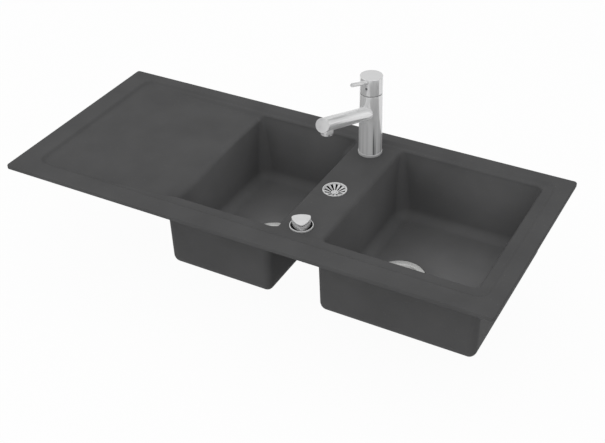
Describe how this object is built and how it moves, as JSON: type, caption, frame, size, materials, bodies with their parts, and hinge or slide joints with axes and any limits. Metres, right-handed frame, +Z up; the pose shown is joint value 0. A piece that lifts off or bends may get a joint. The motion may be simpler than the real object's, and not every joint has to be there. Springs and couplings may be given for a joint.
{
  "type": "kitchen sink",
  "caption": "Double bowl drop-in kitchen sink with drainer, single-lever pillar tap, round overflow, three-sided pop-up knob and strainer wastes.",
  "frame": {"origin": "centre of the rim's outline, in the plane of the rim's underside, which is the worktop's top", "axes": "+X to the user's right, +Y to the back, +Z up"},
  "size_m": [1.16, 0.51, 0.4897],
  "materials": {
    "sink_stone": "matt satin moulded stone composite",
    "chrome": "polished",
    "steel": "brushed",
    "dark_steel": "blackened",
    "brass": "machined",
    "rubber": "matt",
    "black_plastic": "moulded",
    "white_plastic": "moulded",
    "blue_plastic": "moulded",
    "grey_plastic": "moulded"
  },
  "bodies": {
    "sink": {"sink_body": "sink_stone", "left_waste_flange": "steel", "left_flange_gasket": "rubber", "left_body_gasket": "rubber", "left_waste_body": "black_plastic", "left_centre_screw": "steel", "right_waste_flange": "steel", "right_flange_gasket": "rubber", "right_body_gasket": "rubber", "right_waste_body": "black_plastic", "right_centre_screw": "steel", "overflow_grille": "chrome", "overflow_screw": "chrome", "overflow_gasket": "rubber", "overflow_elbow": "black_plastic", "control_escutcheon": "chrome", "control_bush": "white_plastic", "control_washer": "rubber", "control_nut": "white_plastic", "control_housing": "black_plastic", "tap_foot_seal": "rubber", "tap_foot_ring": "chrome", "tap_column": "brass", "tap_shank": "brass", "tap_rubber_washer": "rubber", "tap_steel_washer": "steel", "tap_nut": "brass", "lower_glide_ring": "white_plastic", "upper_glide_ring": "rubber", "column_seals": "rubber", "cartridge": "white_plastic", "dome_ring": "chrome"},
    "spout": {"tap_sleeve": "chrome", "spout_tube": "chrome", "spout_end_cap": "chrome", "aerator_ring": "chrome", "aerator_insert": "grey_plastic"},
    "handle_base": {"stem_carrier": "blue_plastic", "stem_pin": "steel"},
    "handle": {"handle_stem": "brass", "handle_cap": "chrome", "handle_lever": "chrome", "handle_screw": "dark_steel", "index_plug": "grey_plastic"},
    "control": {"control_knob": "chrome", "control_knob_cover": "chrome", "control_spindle": "steel", "control_drum": "white_plastic"},
    "right_strainer": {"right_basket": "steel", "right_basket_seal": "rubber", "right_basket_knob": "chrome", "right_lift_pin": "steel"},
    "lift_arm": {"right_lift_arm": "steel"},
    "left_strainer": {"left_basket": "steel", "left_basket_seal": "rubber", "left_basket_knob": "chrome"}
  },
  "joints": [
    {"name": "spout_swivel", "type": "hinge", "parent": "sink", "child": "spout", "pos_m": [0.1215, 0.176, 0.1], "axis": [0, 0, 1], "range_deg": [-75, 75]},
    {"name": "handle_turn", "type": "hinge", "parent": "sink", "child": "handle_base", "pos_m": [0.1215, 0.176, 0.137], "axis": [0, 0, 1], "range_deg": [-45, 45]},
    {"name": "handle_lift", "type": "hinge", "parent": "handle_base", "child": "handle", "pos_m": [0.1215, 0.176, 0.137], "axis": [-1, 0, 0], "range_deg": [0, 20]},
    {"name": "knob_turn", "type": "hinge", "parent": "sink", "child": "control", "pos_m": [0.1215, -0.1505, 0], "axis": [0, 0, 1], "range_deg": [0, 90]},
    {"name": "right_strainer_lift", "type": "slide", "parent": "sink", "child": "right_strainer", "axis": [0, 0, 1], "range_m": [0, 0.008]},
    {"name": "lift_arm_turn", "type": "hinge", "parent": "sink", "child": "lift_arm", "pos_m": [0.257, -0.011, -0.2179], "axis": [0, -1, 0], "range_deg": [0, 15.32]},
    {"name": "left_strainer_lift", "type": "slide", "parent": "sink", "child": "left_strainer", "axis": [0, 0, 1], "range_m": [0, 0.06]}
  ],
  "couplings": [
    {"joint": "right_strainer_lift", "follows": "knob_turn", "m_per_rad": 0.0050929},
    {"joint": "lift_arm_turn", "follows": "knob_turn", "ratio": 0.17026}
  ]
}
